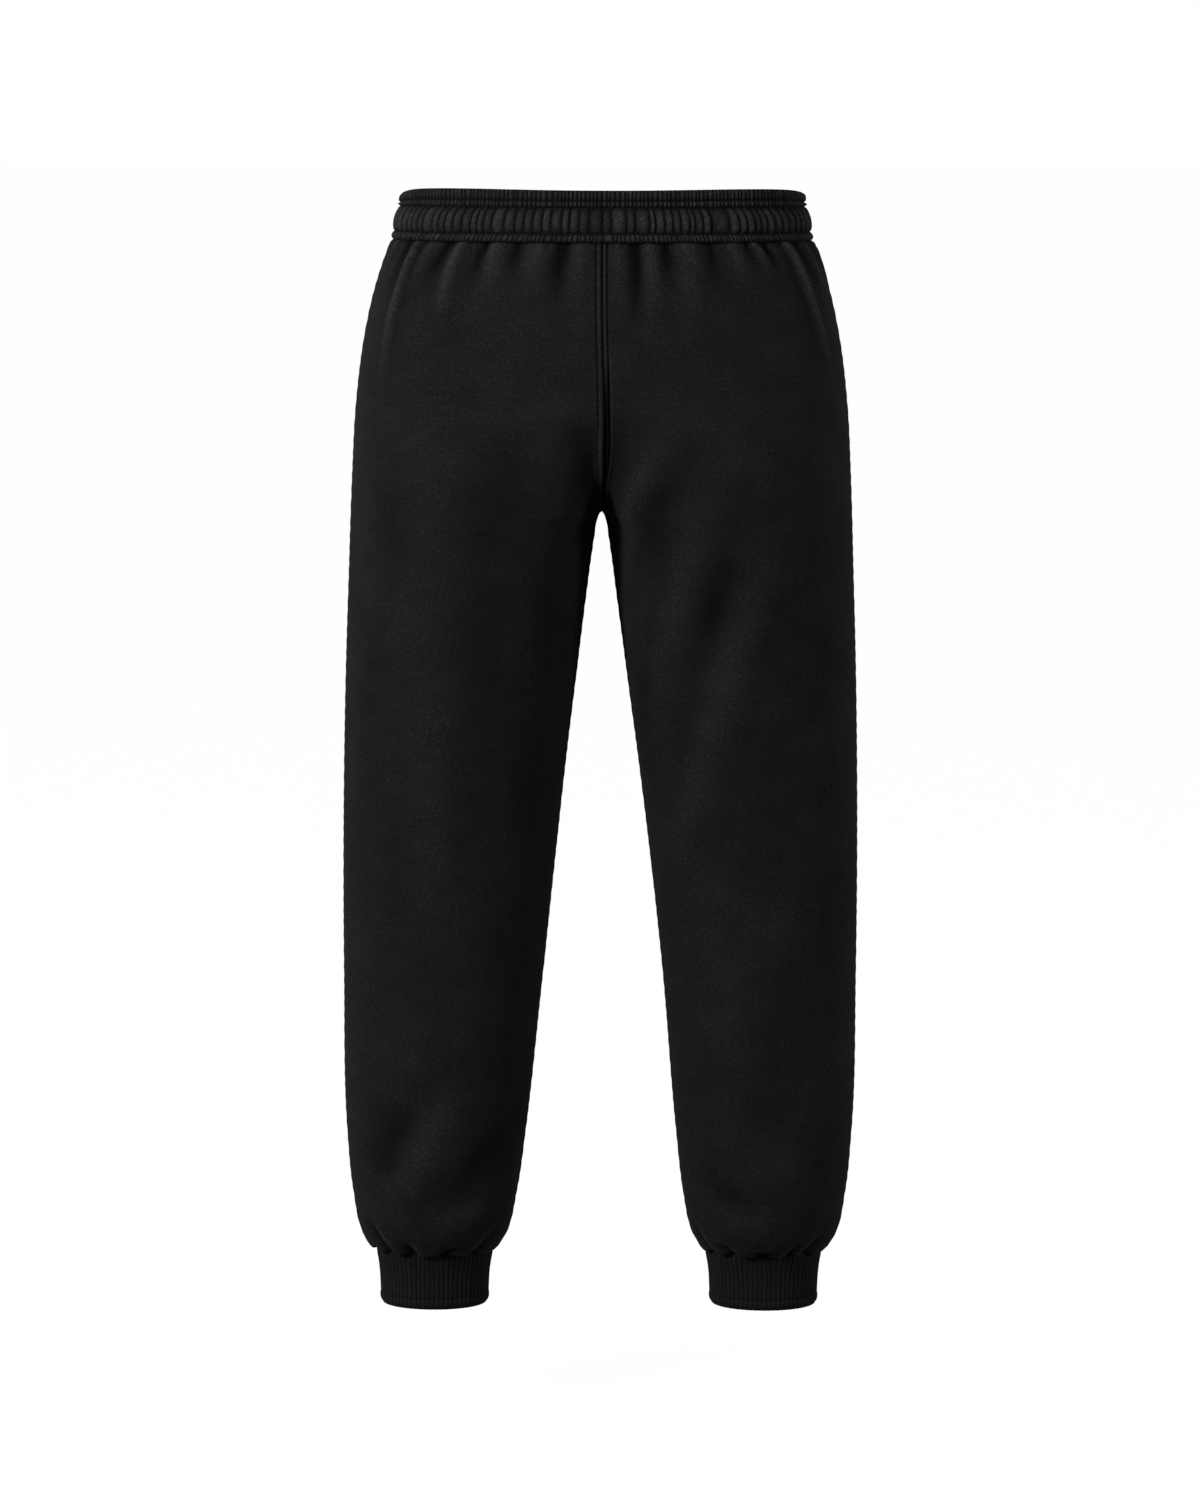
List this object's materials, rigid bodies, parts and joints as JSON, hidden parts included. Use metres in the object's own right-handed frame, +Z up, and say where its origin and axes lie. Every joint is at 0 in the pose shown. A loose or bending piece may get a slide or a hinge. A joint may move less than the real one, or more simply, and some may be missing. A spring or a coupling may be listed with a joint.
{
  "type": "jogger sweatpants",
  "caption": "Relaxed jogger sweatpants, filled out and hollow, with a gathered elastic waistband, tapered legs and rib-knit cuffs, open at waist and ankles.",
  "frame": {"origin": "middle of the waist opening at the height of the elastic, where the wearer's waist holds the garment up", "axes": "+Z up, -Y out of the garment's back, +X to the wearer's right"},
  "size_m": [0.473, 0.2386, 1.0295],
  "materials": {
    "fleece": "matte brushed fleece, soft nap, near black",
    "rib_knit": "matte rib knit, near black"
  },
  "bodies": {
    "root": {"waistband": "fleece", "leg_back_left": "fleece", "leg_back_right": "fleece", "leg_front_left": "fleece", "leg_front_right": "fleece", "cuff_left": "rib_knit", "cuff_right": "rib_knit"}
  },
  "joints": []
}
